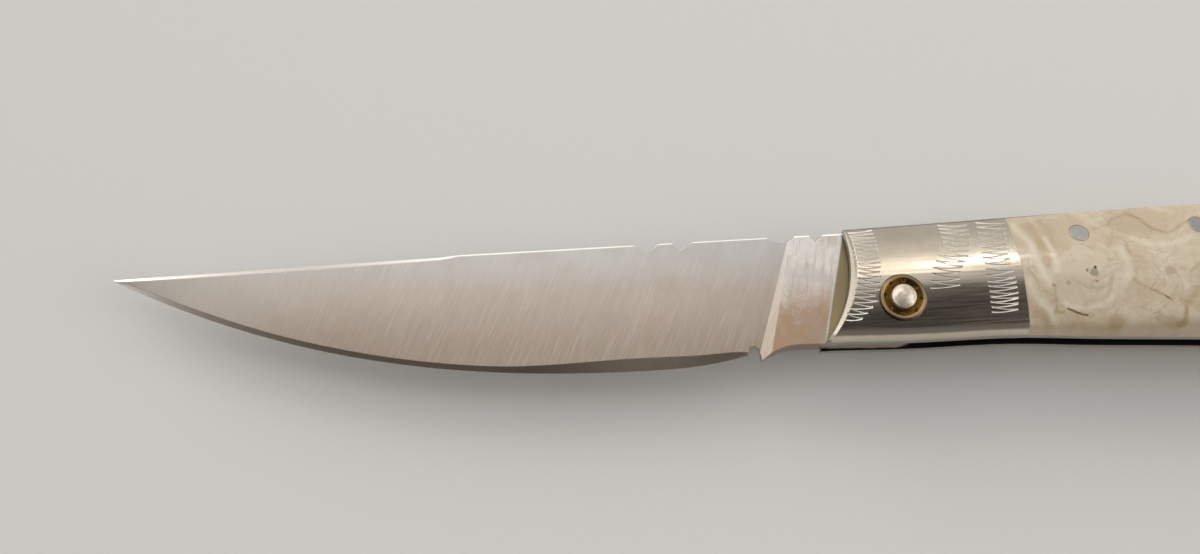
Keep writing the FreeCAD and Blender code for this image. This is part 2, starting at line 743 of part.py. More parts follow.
os.makedirs("parts", exist_ok=True)
for name, shape in pieces().items():
    shape.translate(SET_DOWN)
    shape.exportStep(f"parts/{name}.step")
    print(f"{name}: {len(shape.Solids)} solid, {shape.Volume:.2f} mm3, valid {shape.isValid()}")
print(f"pivot axis at x {SET_DOWN.x:.4f}, y {SET_DOWN.y:.4f}, rest half-height {REST_HALF:.4f}")
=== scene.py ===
import math
import random

import bmesh
import bpy
from mathutils import Euler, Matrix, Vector
from mathutils.bvhtree import BVHTree
from mathutils.interpolate import poly_3d_calc


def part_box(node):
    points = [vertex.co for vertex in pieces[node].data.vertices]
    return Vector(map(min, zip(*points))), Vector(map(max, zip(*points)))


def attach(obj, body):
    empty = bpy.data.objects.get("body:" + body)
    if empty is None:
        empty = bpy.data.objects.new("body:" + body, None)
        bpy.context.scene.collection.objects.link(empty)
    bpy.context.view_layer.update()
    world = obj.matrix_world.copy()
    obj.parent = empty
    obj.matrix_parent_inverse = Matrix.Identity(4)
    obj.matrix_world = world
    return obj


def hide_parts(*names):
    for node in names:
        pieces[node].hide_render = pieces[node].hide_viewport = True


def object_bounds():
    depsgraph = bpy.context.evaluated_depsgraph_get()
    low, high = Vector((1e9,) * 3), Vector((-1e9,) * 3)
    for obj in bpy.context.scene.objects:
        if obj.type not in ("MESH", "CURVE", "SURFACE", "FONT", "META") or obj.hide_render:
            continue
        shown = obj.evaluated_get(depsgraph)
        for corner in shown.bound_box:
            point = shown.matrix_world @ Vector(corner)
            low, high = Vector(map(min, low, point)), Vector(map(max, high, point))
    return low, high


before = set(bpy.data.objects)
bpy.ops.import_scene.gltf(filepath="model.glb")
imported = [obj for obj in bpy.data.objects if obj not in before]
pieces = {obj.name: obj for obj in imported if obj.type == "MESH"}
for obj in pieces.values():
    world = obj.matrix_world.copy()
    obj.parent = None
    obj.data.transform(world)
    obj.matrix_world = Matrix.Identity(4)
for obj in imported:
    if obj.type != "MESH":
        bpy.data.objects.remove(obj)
cad_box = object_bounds()


# Liners and back spacer: three flat plates of the same steel that make the handle's frame.
# They are sawn out, draw filed along their edges and rubbed lengthwise on fine paper,
# and the six handle pins hold them together with the scales.
PLATE_STEEL = (0.52, 0.50, 0.47, 1)
PLATE_SHADE = (0.38, 0.36, 0.33, 1)
PLATE_EDGE = (0.68, 0.66, 0.63, 1)
PLATE_LINES = (0.006, 0.00011, 0.00016)
PLATE_ROUGH = 0.36
PLATE_EASE = 0.00012
SEAM_COLOUR = (0.05, 0.045, 0.04, 1)
SEAM_WIDTH = 0.00009
SEAM_SHARE = 0.85
# What all rubbed metal here shares: the mix of its lines and clouds, and how they change its surface
COARSE_SCALE = 0.43
COARSE_SHARE = 0.3
LINE_SPAN = (0.3, 0.7)
LINE_BUMP = 0.12
LINE_DEPTH = 0.00001
CLOUD_SCALE = 160
CLOUD_SPAN = (0.33, 0.67)
CLOUD_SHARE = 0.4
ROUGH_SWING = 0.05
WEAR_SAMPLES = 6
WEAR_SPAN = (0.995, 0.93)


def add_node(tree, kind, sockets, **settings):
    """A shader node with its settings made and its sockets filled by values or by other sockets."""
    made = tree.nodes.new("ShaderNode" + kind)
    for name, value in settings.items():
        setattr(made, name, value)
    for key, value in sockets.items():
        if isinstance(value, bpy.types.NodeSocket):
            tree.links.new(value, made.inputs[key])
        else:
            made.inputs[key].default_value = value
    return made


def output(tree, kind, sockets, **settings):
    """The first output of a new shader node."""
    return add_node(tree, kind, sockets, **settings).outputs[0]


def combined(tree, first, second, operation):
    """Two values put together by an operation."""
    return output(tree, "Math", {0: first, 1: second}, operation=operation)


def unsigned(tree, value):
    """A value without its sign."""
    return output(tree, "Math", {0: value}, operation="ABSOLUTE")


def measured(tree, first, second, operation):
    """A number from two places: how far apart they are, or how far one reaches along the other."""
    return add_node(tree, "VectorMath", {0: first, 1: second}, operation=operation).outputs["Value"]


def band(tree, value, low, high, floor=0.0, top=1.0):
    """A value that rises smoothly from floor to top while another goes from low to high."""
    sockets = {"Value": value, "From Min": low, "From Max": high, "To Min": floor, "To Max": top}
    return output(tree, "MapRange", sockets, interpolation_type="SMOOTHSTEP", clamp=False)


def noise(tree, place, scale, detail=2.0, rough=0.5, swirl=0.0):
    """Soft noise over a place."""
    sockets = {"Vector": place, "Scale": scale, "Detail": detail, "Roughness": rough, "Distortion": swirl}
    return output(tree, "TexNoise", sockets)


def blend(tree, share, under, over):
    """One colour laid over another by a share."""
    made = add_node(tree, "Mix", {0: share, 6: under, 7: over}, data_type="RGBA")
    return made.outputs[2]


def mixed(tree, share, under, over):
    """One value laid over another by a share."""
    return output(tree, "Mix", {0: share, 2: under, 3: over})


def new_group(name, takes, gives):
    """An empty node group with named sockets: its tree, its inputs and its outputs."""
    group = bpy.data.node_groups.new(name, "ShaderNodeTree")
    for label, kind in takes:
        group.interface.new_socket(label, in_out="INPUT", socket_type="NodeSocket" + kind)
    for label, kind in gives:
        group.interface.new_socket(label, in_out="OUTPUT", socket_type="NodeSocket" + kind)
    return group, group.nodes.new("NodeGroupInput").outputs, group.nodes.new("NodeGroupOutput").inputs


def rubbed_lines():
    """Lines that paper leaves in metal: fine scratches with a few coarser ones among them, and clouds."""
    group, takes, gives = new_group(
        "rubbed_lines",
        [("Place", "Vector"), ("Turn", "Vector"), ("Size", "Vector")],
        [("Lines", "Float"), ("Clouds", "Float")],
    )
    sockets = {"Vector": takes["Place"], "Rotation": takes["Turn"], "Scale": takes["Size"]}
    stretched = output(group, "Mapping", sockets, vector_type="TEXTURE")
    fine = noise(group, stretched, scale=1, detail=4, rough=0.7)
    coarse = noise(group, stretched, COARSE_SCALE)
    lines = mixed(group, COARSE_SHARE, fine, coarse)
    group.links.new(band(group, lines, *LINE_SPAN), gives["Lines"])
    clouds = noise(group, takes["Place"], CLOUD_SCALE, detail=3, rough=0.55)
    group.links.new(band(group, clouds, *CLOUD_SPAN), gives["Clouds"])


def place_lines(tree, place, turn, size):
    """The rubbed lines on one finish: turned about z, with a line's length, spacing and reach in depth."""
    made = tree.nodes.new("ShaderNodeGroup")
    made.node_tree = bpy.data.node_groups["rubbed_lines"]
    tree.links.new(place, made.inputs["Place"])
    made.inputs["Turn"].default_value = (0, 0, turn)
    made.inputs["Size"].default_value = size
    return made.outputs["Lines"], made.outputs["Clouds"]


def worn_edges():
    """Corners eased by stone and hand: a mask of where they are, and the normal rounded over them."""
    takes_named = [("Reach", "Float")]
    gives_named = [("Wear", "Float"), ("Normal", "Vector")]
    group, takes, gives = new_group("worn_edges", takes_named, gives_named)
    eased = output(group, "Bevel", {"Radius": takes["Reach"]}, samples=WEAR_SAMPLES)
    flat = add_node(group, "NewGeometry", {}).outputs["Normal"]
    agreement = measured(group, eased, flat, "DOT_PRODUCT")
    group.links.new(band(group, agreement, *WEAR_SPAN), gives["Wear"])
    group.links.new(eased, gives["Normal"])


def ease(tree, reach):
    """The worn edges on one finish, as far from each corner as they reach."""
    made = tree.nodes.new("ShaderNodeGroup")
    made.node_tree = bpy.data.node_groups["worn_edges"]
    made.inputs["Reach"].default_value = reach
    return made.outputs["Wear"], made.outputs["Normal"]


def bump(tree, height, strength, distance, under):
    """A surface normal raised by a height over the normal under it."""
    sockets = {"Height": height, "Strength": strength, "Distance": distance, "Normal": under}
    return output(tree, "Bump", sockets)


def new_finish(name):
    """A new material: itself, its tree, its shader and the place on the piece."""
    finish = bpy.data.materials.new(name)
    finish.use_nodes = True
    tree = finish.node_tree
    place = tree.nodes.new("ShaderNodeTexCoord").outputs["Object"]
    return finish, tree, tree.nodes["Principled BSDF"], place


def fill(tree, shader, **sockets):
    """Shader sockets filled by values or by other sockets, with spaces written as underscores."""
    for name, value in sockets.items():
        socket = shader.inputs[name.replace("_", " ")]
        if isinstance(value, bpy.types.NodeSocket):
            tree.links.new(value, socket)
        else:
            socket.default_value = value


def satin_metal(name, pale, shade, bright, turn, size, rough, reach):
    """Metal rubbed one way on fine paper: dull in the lines and clouds, bright on the worn edges."""
    finish, tree, shader, place = new_finish(name)
    lines, clouds = place_lines(tree, place, turn, size)
    wear, eased = ease(tree, reach)
    face = blend(tree, mixed(tree, CLOUD_SHARE, lines, clouds), shade, pale)
    fill(
        tree,
        shader,
        Base_Color=blend(tree, wear, face, bright),
        Metallic=1.0,
        Roughness=band(tree, lines, 0, 1, rough + ROUGH_SWING, rough - ROUGH_SWING),
        Normal=bump(tree, lines, LINE_BUMP, LINE_DEPTH, eased),
    )
    return finish


def dress(finish, *names):
    """Frame pieces given their finish."""
    for name in names:
        for slot in pieces[name].material_slots:
            slot.material = finish


rubbed_lines()
worn_edges()
plate_finish = satin_metal(
    "satin_plate", PLATE_STEEL, PLATE_SHADE, PLATE_EDGE, 0, PLATE_LINES, PLATE_ROUGH, PLATE_EASE
)
tree = plate_finish.node_tree
shader = tree.nodes["Principled BSDF"]
_, _, level = add_node(tree, "SeparateXYZ", {0: tree.nodes["Texture Coordinate"].outputs["Object"]}).outputs
face = shader.inputs["Base Color"].links[0].from_socket
for plate in ("back_spacer", "left_liner", "right_liner"):
    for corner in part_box(plate):
        from_seam = unsigned(tree, combined(tree, level, corner[2], "SUBTRACT"))
        face = blend(tree, band(tree, from_seam, SEAM_WIDTH, 0, 0, SEAM_SHARE), face, SEAM_COLOUR)
fill(tree, shader, Base_Color=face)
dress(plate_finish, "left_liner", "right_liner", "back_spacer")


# Blade: one steel forging with its ricasso and tang, ground flat and rubbed across its length on fine paper.
# The back of the grind stays cooler and the edge warmer; the ricasso is buffed, cloudy above and brown from
# heat below; the tang behind it is relieved, left dull and painted dark olive, which is partly its own dull
# finish and partly painted shade in the recess before the bolster. The blade turns on the pivot pin.
BLADE_LOW = (0.48, 0.385, 0.305, 1)
BLADE_MID = (0.58, 0.485, 0.405, 1)
BLADE_TOP = (0.60, 0.535, 0.47, 1)
BLADE_COOL = (0.63, 0.605, 0.585, 1)
BLADE_BRIGHT = (0.76, 0.70, 0.63, 1)
BLADE_SHADE = (0.50, 0.43, 0.355, 1)
BLADE_EDGE_AND_HIGHLIGHT = (0.86, 0.85, 0.82, 1)
BLADE_LINES = (0.0034, 0.00012, 0.02)
BLADE_LEAN = math.radians(66)
BLADE_ROUGH = (0.37, 0.29)
BLADE_BUMP = 0.1
BLADE_EASE = 0.0001
# The tones over the grind: where each begins and ends, and how strong it gets
LOW_SLOPE = (0.075, 1, 0)
LOW_SPAN = (-0.0062, 0.0028)
TOP_SPAN = (0.004, 0.012)
COOL_SLOPE = (0.06, 1, 0)
COOL_SPAN = (0.0035, 0.0102)
BRIGHT_LINES = (0.35, 1, 0, 0.3)
SHADY_CLOUDS = (0.2, 1, 0, 0.22)
BRIGHT_TIP = (-0.08, -0.108, 0, 0.45)
TIP_TO_BLADE = (-0.1, -0.05)
TIP_WEAR = 0.1
BLADE_WEAR = 0.7
# The ricasso lies between two slanted lines: the plunge of the grind and the shoulder of the tang
PLUNGE_SLOPE = (1, -0.264, 0)
PLUNGE_AT = -0.02207
TANG_SLOPE = (1, -0.273, 0)
TANG_AT = -0.01478
ZONE_BLUR = 0.00015
RICASSO_PALE = (0.74, 0.70, 0.655, 1)
RICASSO_COPPER = (0.40, 0.268, 0.175, 1)
RICASSO_CLOUD = (0.86, 0.84, 0.81, 1)
RICASSO_SMUDGE = (0.41, 0.36, 0.31, 1)
RICASSO_STREAKS = (0.005, 0.0005, 0.02)
RICASSO_LEAN = math.radians(76)
RICASSO_ROUGH = (0.4, 0.7, 0.2, 0.34)
COPPER_SPAN = (0.001, 0.0085)
COPPER_STREAKS = (0.3, 1, 0, 0.45)
SPOT_SCALE = 520
PALE_SPOTS = (0.42, 0.72, 0, 0.6)
SPOTS_BY_HEIGHT = (-0.003, 0.006, 0.25, 1)
DULL_SMUDGES = (0.4, 1, 0, 0.4)
TANG_OLIVE_AND_SHADE = (0.33, 0.265, 0.16, 1)
TANG_ROUGH = (0.36, 0.46)
# Faces known by their normals: the sides, the ricasso's rear bevel, and the swedge and chamfer of the spine;
# the rear bevel and the spine's crest are painted pale as painted highlights
SIDE_SPAN = (0.5, 0.8)
BEVEL_SPAN = (0.06, 0.16)
BEVEL_LEAN = (-0.3, 0.05, 0)
BEVEL_ROUGH = 0.5
CREST_RISE = (0.3, 0.6)
CREST_SIDE = (0.4, 0.6)
CREST_LEAN = (0, -0.55, 0)
CREST_HIGHLIGHT_SHARE = 0.8


def both(tree, first, second):
    """Where two masks overlap."""
    return combined(tree, first, second, "MULTIPLY")


def added(tree, first, second):
    """Two vectors added."""
    return output(tree, "VectorMath", {0: first, 1: second}, operation="ADD")


def scaled(tree, vector, share):
    """A vector made shorter or longer."""
    return output(tree, "VectorMath", {0: vector, "Scale": share}, operation="SCALE")


finish, tree, shader, place = new_finish("ground_blade")
along, height, _ = add_node(tree, "SeparateXYZ", {0: place}).outputs
outward = tree.nodes["Texture Coordinate"].outputs["Normal"]
leaning, rising, facing = add_node(tree, "SeparateXYZ", {0: outward}).outputs
sideways = unsigned(tree, facing)
past_plunge = measured(tree, place, PLUNGE_SLOPE, "DOT_PRODUCT")
past_shoulder = measured(tree, place, TANG_SLOPE, "DOT_PRODUCT")
on_side = band(tree, sideways, *SIDE_SPAN)
on_bevel = both(tree, band(tree, leaning, *BEVEL_SPAN), on_side)
on_crest = both(tree, band(tree, rising, *CREST_RISE), band(tree, sideways, *CREST_SIDE))
on_ricasso = band(tree, past_plunge, PLUNGE_AT - ZONE_BLUR, PLUNGE_AT + ZONE_BLUR)
on_tang = both(tree, band(tree, past_shoulder, TANG_AT - ZONE_BLUR, TANG_AT + ZONE_BLUR), on_side)

lines, clouds = place_lines(tree, place, BLADE_LEAN, BLADE_LINES)
low_reach = measured(tree, place, LOW_SLOPE, "DOT_PRODUCT")
cool_reach = measured(tree, place, COOL_SLOPE, "DOT_PRODUCT")
face = blend(tree, band(tree, low_reach, *LOW_SPAN), BLADE_LOW, BLADE_MID)
face = blend(tree, band(tree, height, *TOP_SPAN), face, BLADE_TOP)
face = blend(tree, band(tree, cool_reach, *COOL_SPAN), face, BLADE_COOL)
face = blend(tree, band(tree, lines, *BRIGHT_LINES), face, BLADE_BRIGHT)
face = blend(tree, band(tree, clouds, *SHADY_CLOUDS), face, BLADE_SHADE)
face = blend(tree, band(tree, along, *BRIGHT_TIP), face, BLADE_BRIGHT)

streaks, smudges = place_lines(tree, place, RICASSO_LEAN, RICASSO_STREAKS)
spots = noise(tree, place, SPOT_SCALE, detail=5, rough=0.68)
cloudy = both(tree, band(tree, spots, *PALE_SPOTS), band(tree, height, *SPOTS_BY_HEIGHT))
polish = blend(tree, band(tree, height, *COPPER_SPAN), RICASSO_COPPER, RICASSO_PALE)
polish = blend(tree, band(tree, streaks, *COPPER_STREAKS), polish, RICASSO_COPPER)
polish = blend(tree, cloudy, polish, RICASSO_CLOUD)
polish = blend(tree, band(tree, smudges, *DULL_SMUDGES), polish, RICASSO_SMUDGE)
# painted highlight: the ricasso's rear bevel is painted pale
polish = blend(tree, on_bevel, polish, BLADE_EDGE_AND_HIGHLIGHT)
# the tang is painted dark olive: partly its own dull finish, partly painted shade in the recess before the
# bolster
face = blend(tree, on_tang, blend(tree, on_ricasso, face, polish), TANG_OLIVE_AND_SHADE)
# painted highlight: the spine's crest is painted pale away from the tip
crest_highlight = blend(tree, band(tree, along, *TIP_TO_BLADE), BLADE_TOP, BLADE_EDGE_AND_HIGHLIGHT)
face = blend(tree, band(tree, on_crest, 0, 1, 0, CREST_HIGHLIGHT_SHARE), face, crest_highlight)
wear, eased = ease(tree, BLADE_EASE)
wear = both(tree, wear, band(tree, along, *TIP_TO_BLADE, TIP_WEAR, BLADE_WEAR))

on_rear_bevel = both(tree, on_bevel, on_ricasso)
rough = mixed(tree, on_ricasso, band(tree, lines, 0, 1, *BLADE_ROUGH), band(tree, spots, *RICASSO_ROUGH))
rough = mixed(tree, on_rear_bevel, rough, BEVEL_ROUGH)
leaned = added(tree, scaled(tree, BEVEL_LEAN, on_rear_bevel), scaled(tree, CREST_LEAN, on_crest))
turned = output(
    tree, "VectorTransform", {0: leaned}, vector_type="VECTOR", convert_from="OBJECT", convert_to="WORLD"
)
marks = mixed(tree, on_ricasso, lines, spots)
fill(
    tree,
    shader,
    Base_Color=blend(tree, wear, face, BLADE_EDGE_AND_HIGHLIGHT),
    Metallic=1.0,
    Roughness=mixed(tree, on_tang, rough, band(tree, clouds, 0, 1, *TANG_ROUGH)),
    Normal=bump(tree, marks, BLADE_BUMP, LINE_DEPTH, added(tree, eased, turned)),
)
dress(finish, "blade")


# Pivot washers: two thin discs of bronze sheet, punched out and flattened, one at each side of the tang.
# They lie between the tang and the liners on the pivot pin, and take the wear of opening and folding.
WASHER_BRONZE = (0.50, 0.33, 0.16, 1)
WASHER_SHADE = (0.36, 0.23, 0.11, 1)
WASHER_EDGE = (0.66, 0.48, 0.27, 1)
WASHER_LINES = (0.003, 0.0002, 0.003)
WASHER_LEAN = math.radians(35)
WASHER_ROUGH = 0.34
washer_finish = satin_metal(
    "washer_bronze",
    WASHER_BRONZE,
    WASHER_SHADE,
    WASHER_EDGE,
    WASHER_LEAN,
    WASHER_LINES,
    WASHER_ROUGH,
    PLATE_EASE,
)
dress(washer_finish, "left_pivot_washer", "right_pivot_washer")


# Bolsters: two nickel silver cheeks dowelled and soldered to the liners, drilled for the pivot and polished.
# Their edges are eased on the stone. Three bands of wriggle cuts are engraved by hand in each: a graver is
# rocked from side to side as it walks, so that each zig-zag is wide and deep where it turns.
MERGE = 0.000001
INSIDE_SHARE = 0.02
CUT_WIDTH = 0.00027
CUT_DEPTH = 0.00006
CUT_LIFT = 0.00003
CUT_STATIONS = 6
CUT_WAIST_SHARE = 0.55
CUT_SAG = 0.00016
CUT_WANDER = 0.00007
# Each band runs from the back down: its front and rear guide lines in side view, in millimetres, and its
# count of teeth
FRONT_BAND = (
    ((-12.0, 12.75), (-11.6, 10.6), (-10.95, 8.0), (-11.1, 5.3), (-12.0, 2.3), (-13.5, -0.6)),
    ((-7.75, 12.6), (-7.7, 10.2), (-7.65, 7.7), (-8.15, 4.9), (-8.75, 1.8), (-11.6, -0.9)),
    19,
)
MIDDLE_BAND = (
    ((1.36, 12.5), (1.33, 10.9), (1.3, 9.1), (0.0, 7.5), (-1.2, 5.2), (-1.8, 2.9)),
    ((5.22, 12.5), (5.2, 10.7), (4.75, 8.7), (3.7, 6.6), (2.45, 4.75), (2.0, 2.75)),
    12,
)
REAR_BAND = (
    ((6.7, 12.6), (6.3, 9.6), (6.0, 7.0), (5.9, 4.0), (5.95, 1.6), (6.0, -0.7)),
    ((10.5, 12.6), (9.9, 9.6), (9.45, 7.0), (9.6, 4.0), (9.75, 1.6), (9.3, -0.9)),
    17,
)
MILLIMETRE = 0.001
MIDDLE_Z = (cad_box[0][2] + cad_box[1][2]) / 2
SIDE_VIEW = (1, 1, 0)
BOLSTER_PALE = (0.66, 0.59, 0.49, 1)
BOLSTER_SHADE = (0.56, 0.495, 0.40, 1)
BOLSTER_EDGE = (0.74, 0.68, 0.58, 1)
BOLSTER_LINES = (0.007, 0.00012, 0.00012)
BOLSTER_ROUGH = 0.17
BOLSTER_EASE = 0.00007
# The curved front edge in side view is an arc; a narrow chamfer runs along it, over a hollow front wall
FRONT_ARC_MIDDLE = (-0.0285, 0.00887, 0)
FRONT_ARC_RADIUS = 0.01733
CHAMFER = 0.0005
CHAMFER_FULL = 0.7
CHAMFER_LEAN = (-0.8, 0.2, 0)
WALL_SPAN = (0.5, 0.3)
WALL_LEAN = (0.9, -0.1)
WALL_ROUGH = 0.4
CUT_PALE = (0.86, 0.82, 0.75, 1)
CUT_SHADE = (0.72, 0.67, 0.59, 1)
CUT_ROUGH = 0.3
CUT_EASE = 0.00002
BOLSTER_FAR = 0.05
FEELER = 0.0003

bolster_finish = satin_metal(
    "satin_bolster", BOLSTER_PALE, BOLSTER_SHADE, BOLSTER_EDGE, 0, BOLSTER_LINES, BOLSTER_ROUGH, BOLSTER_EASE
)
tree = bolster_finish.node_tree
shader = tree.nodes["Principled BSDF"]
coordinates = tree.nodes["Texture Coordinate"].outputs
side_view = output(tree, "VectorMath", {0: coordinates["Object"], 1: SIDE_VIEW}, operation="MULTIPLY")
_, _, level = add_node(tree, "SeparateXYZ", {0: coordinates["Object"]}).outputs
_, _, facing = add_node(tree, "SeparateXYZ", {0: coordinates["Normal"]}).outputs
from_arc = measured(tree, side_view, FRONT_ARC_MIDDLE, "DISTANCE")
chamfer_start = FRONT_ARC_RADIUS + CHAMFER
on_chamfer = band(tree, from_arc, chamfer_start, FRONT_ARC_RADIUS + CHAMFER * CHAMFER_FULL)
on_wall = both(tree, on_chamfer, band(tree, unsigned(tree, facing), *WALL_SPAN))
outside = output(tree, "Math", {0: combined(tree, level, MIDDLE_Z, "SUBTRACT")}, operation="SIGN")
wall_lean = output(tree, "CombineXYZ", {0: WALL_LEAN[0], 1: WALL_LEAN[1], 2: outside})
leaned = added(tree, scaled(tree, CHAMFER_LEAN, on_chamfer), scaled(tree, wall_lean, on_wall))
tipped = added(tree, shader.inputs["Normal"].links[0].from_socket, leaned)
rough = shader.inputs["Roughness"].links[0].from_socket
fill(
    tree,
    shader,
    Roughness=mixed(tree, on_wall, rough, WALL_ROUGH),
    Normal=output(tree, "VectorMath", {0: tipped}, operation="NORMALIZE"),
)
cut_finish = satin_metal("bright_cut", CUT_PALE, CUT_SHADE, CUT_PALE, 0, BOLSTER_LINES, CUT_ROUGH, CUT_EASE)


def guide_place(guide, share):
    """A place on a guide line, from its first point at 0 to its last at 1."""
    whole = share * (len(guide) - 1)
    first = min(int(whole), len(guide) - 2)
    return Vector(guide[first]).lerp(Vector(guide[first + 1]), whole - first) * MILLIMETRE


def surface_at(surface, outward, spot):
    """The point of a bolster's outside at a place in side view, and its normal there."""
    places = (spot, spot + Vector((FEELER, 0)), spot + Vector((0, FEELER)))
    rays = [Vector((place.x, place.y, BOLSTER_FAR * outward)) for place in places]
    touches = [surface.ray_cast(ray, Vector((0, 0, -outward)))[0] for ray in rays]
    if None in touches:
        return None, None
    touch, ahead, up = touches
    return touch, (ahead - touch).cross(up - touch).normalized() * outward


def cut_stroke(cutter, surface, outward, start, end):
    """One swing of the graver: a V cut that follows the surface from one turn to the next."""
    corners = None
    for station in range(CUT_STATIONS):
        share = station / (CUT_STATIONS - 1)
        swing = (2 * share - 1) ** 2
        spot = start.lerp(end, share)
        spot.y -= CUT_SAG * (1 - swing)
        touch, normal = surface_at(surface, outward, spot)
        if touch is None:
            continue
        size = CUT_WAIST_SHARE + (1 - CUT_WAIST_SHARE) * swing
        flare = 1 + CUT_LIFT / (CUT_DEPTH * size)
        across = normal.cross((end - start).to_3d()).normalized() * CUT_WIDTH / 2 * size * flare
        lifted = touch + normal * CUT_LIFT
        last_corners = corners
        corners = [touch - normal * CUT_DEPTH * size, lifted + across, lifted - across]
        if last_corners is None:
            section = cutter.faces.new([cutter.verts.new(corner) for corner in corners])
            first_section = section
            continue
        grown = bmesh.ops.extrude_face_region(cutter, geom=[section])["geom"]
        if section is not first_section:
            bmesh.ops.delete(cutter, geom=[section], context="FACES_ONLY")
        section = next(item for item in grown if isinstance(item, bmesh.types.BMFace))
        for vert in section.verts:
            role = min(range(3), key=lambda k: (vert.co - last_corners[k]).length)
            vert.co = corners[role]


def new_piece(name, data):
    """An object in the scene for a finished mesh, lamp or camera."""
    piece = bpy.data.objects.new(name, data)
    bpy.context.scene.collection.objects.link(piece)
    return piece


def keep_normals(mesh, blank):
    """The blank's own normals on what is left of its faces; the cuts are flat."""
    corners = [vert.co for vert in blank.vertices]
    blank_faces = [tuple(face.vertices) for face in blank.polygons]
    nearest = BVHTree.FromPolygons(corners, blank_faces)
    normals = [Vector()] * len(mesh.loops)
    for face in mesh.polygons:
        for loop in face.loop_indices:
            normals[loop] = face.normal
            if face.material_index == 0:
                corner = mesh.vertices[mesh.loops[loop].vertex_index].co
                inside = corner.lerp(face.center, INSIDE_SHARE)
                spot, _, found, _ = nearest.find_nearest(inside)
                around = blank.polygons[found]
                shares = poly_3d_calc([corners[vert] for vert in around.vertices], spot)
                normals[loop] = sum(
                    (blank.corner_normals[k].vector * share for k, share in zip(around.loop_indices, shares)),
                    Vector(),
                ).normalized()
    mesh.shade_smooth()
    mesh.normals_split_custom_set(normals)


def engraved_bolster(side, outward):
    """A bolster with its three engraved bands."""
    node = pieces[f"{side}_bolster"]
    cheek = bmesh.new()
    cheek.from_mesh(node.data)
    bmesh.ops.remove_doubles(cheek, verts=cheek.verts, dist=MERGE)
    surface = BVHTree.FromBMesh(cheek)
    cheek_mesh = bpy.data.meshes.new(f"{side}_bolster_engraved")
    cheek.to_mesh(cheek_mesh)
    cheek_mesh.materials.clear()
    cheek_mesh.materials.append(bolster_finish)
    cheek_mesh.materials.append(cut_finish)
    blank = new_piece(f"{side}_bolster_blank", cheek_mesh)
    wander = random.Random(outward)
    cutters = []
    for way in range(2):
        cutter = bmesh.new()
        for front_guide, rear_guide, teeth in (FRONT_BAND, MIDDLE_BAND, REAR_BAND):
            for tooth in range(teeth):
                front = guide_place(front_guide, (tooth + way) / teeth)
                rear = guide_place(rear_guide, (tooth + 0.5) / teeth)
                for turn in (front, rear):
                    turn.x += wander.uniform(-CUT_WANDER, CUT_WANDER)
                    turn.y += wander.uniform(-CUT_WANDER, CUT_WANDER)
                cut_stroke(cutter, surface, outward, front, rear)
        bmesh.ops.recalc_face_normals(cutter, faces=cutter.faces)
        cutter_mesh = bpy.data.meshes.new(f"{side}_cuts_{way}")
        cutter.to_mesh(cutter_mesh)
        cutter_mesh.materials.append(bolster_finish)
        cutter_mesh.materials.append(cut_finish)
        for face in cutter_mesh.polygons:
            face.material_index = 1
        cutters.append(new_piece(f"{side}_cuts_{way}", cutter_mesh))
        carve = blank.modifiers.new(f"cuts_{way}", "BOOLEAN")
        carve.operation = "DIFFERENCE"
        carve.solver = "EXACT"
        carve.use_self = True
        carve.object = cutters[-1]
    depsgraph = bpy.context.evaluated_depsgraph_get()
    mesh = bpy.data.meshes.new_from_object(blank.evaluated_get(depsgraph))
    keep_normals(mesh, node.data)
    for spare in (blank, *cutters):
        bpy.data.objects.remove(spare)
    piece = new_piece(f"{side}_bolster_engraved", mesh)
    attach(piece, "handle")
    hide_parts(f"{side}_bolster")


engraved_bolster("left", 1)
engraved_bolster("right", -1)
dress(bolster_finish, "left_bolster_dowels", "right_bolster_dowels")


# Rosettes: two dished brass rings turned and punched with dots, sunk in the bolsters round the pivot.
# They are chemically darkened, so that the dish and the dots keep a brown patina and the rim is rubbed bare.
ROSETTE_BARE = (0.42, 0.30, 0.165, 1)
ROSETTE_PATINA = (0.045, 0.02, 0.0045, 1)
ROSETTE_GOLD = (0.18, 0.095, 0.02, 1)
ROSETTE_LINES = (0.0012, 0.0003, 0.0012)
ROSETTE_LEAN = 0.6
ROSETTE_ROUGH = (0.28, 0.42)
ROSETTE_BUMP = 0.15
ROSETTE_DEPTH = 0.00002
ROSETTE_EASE = 0.0001
ROSETTE_WEAR = 0.6
PATINA_SHARE = 0.5
RIM_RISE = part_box("left_rosette")[1][2] - MIDDLE_Z
RIM_RUBBED = (0.86, 1, 0, 0.85)
DISH_FALL = 0.0004

finish, tree, shader, place = new_finish("dark_brass")
_, _, level = add_node(tree, "SeparateXYZ", {0: place}).outputs
rise = unsigned(tree, combined(tree, level, MIDDLE_Z, "SUBTRACT"))
lines, clouds = place_lines(tree, place, ROSETTE_LEAN, ROSETTE_LINES)
wear, eased = ease(tree, ROSETTE_EASE)
patina = blend(tree, mixed(tree, PATINA_SHARE, lines, clouds), ROSETTE_PATINA, ROSETTE_GOLD)
up_the_dish = band(tree, rise, RIM_RISE - DISH_FALL, RIM_RISE)
rubbed = band(tree, up_the_dish, *RIM_RUBBED)
bare = combined(tree, rubbed, band(tree, wear, 0, 1, 0, ROSETTE_WEAR), "MAXIMUM")
fill(
    tree,
    shader,
    Base_Color=blend(tree, bare, patina, ROSETTE_BARE),
    Metallic=1.0,
    Roughness=band(tree, clouds, 0, 1, *ROSETTE_ROUGH),
    Normal=bump(tree, lines, ROSETTE_BUMP, ROSETTE_DEPTH, eased),
)
dress(finish, "left_rosette", "right_rosette")


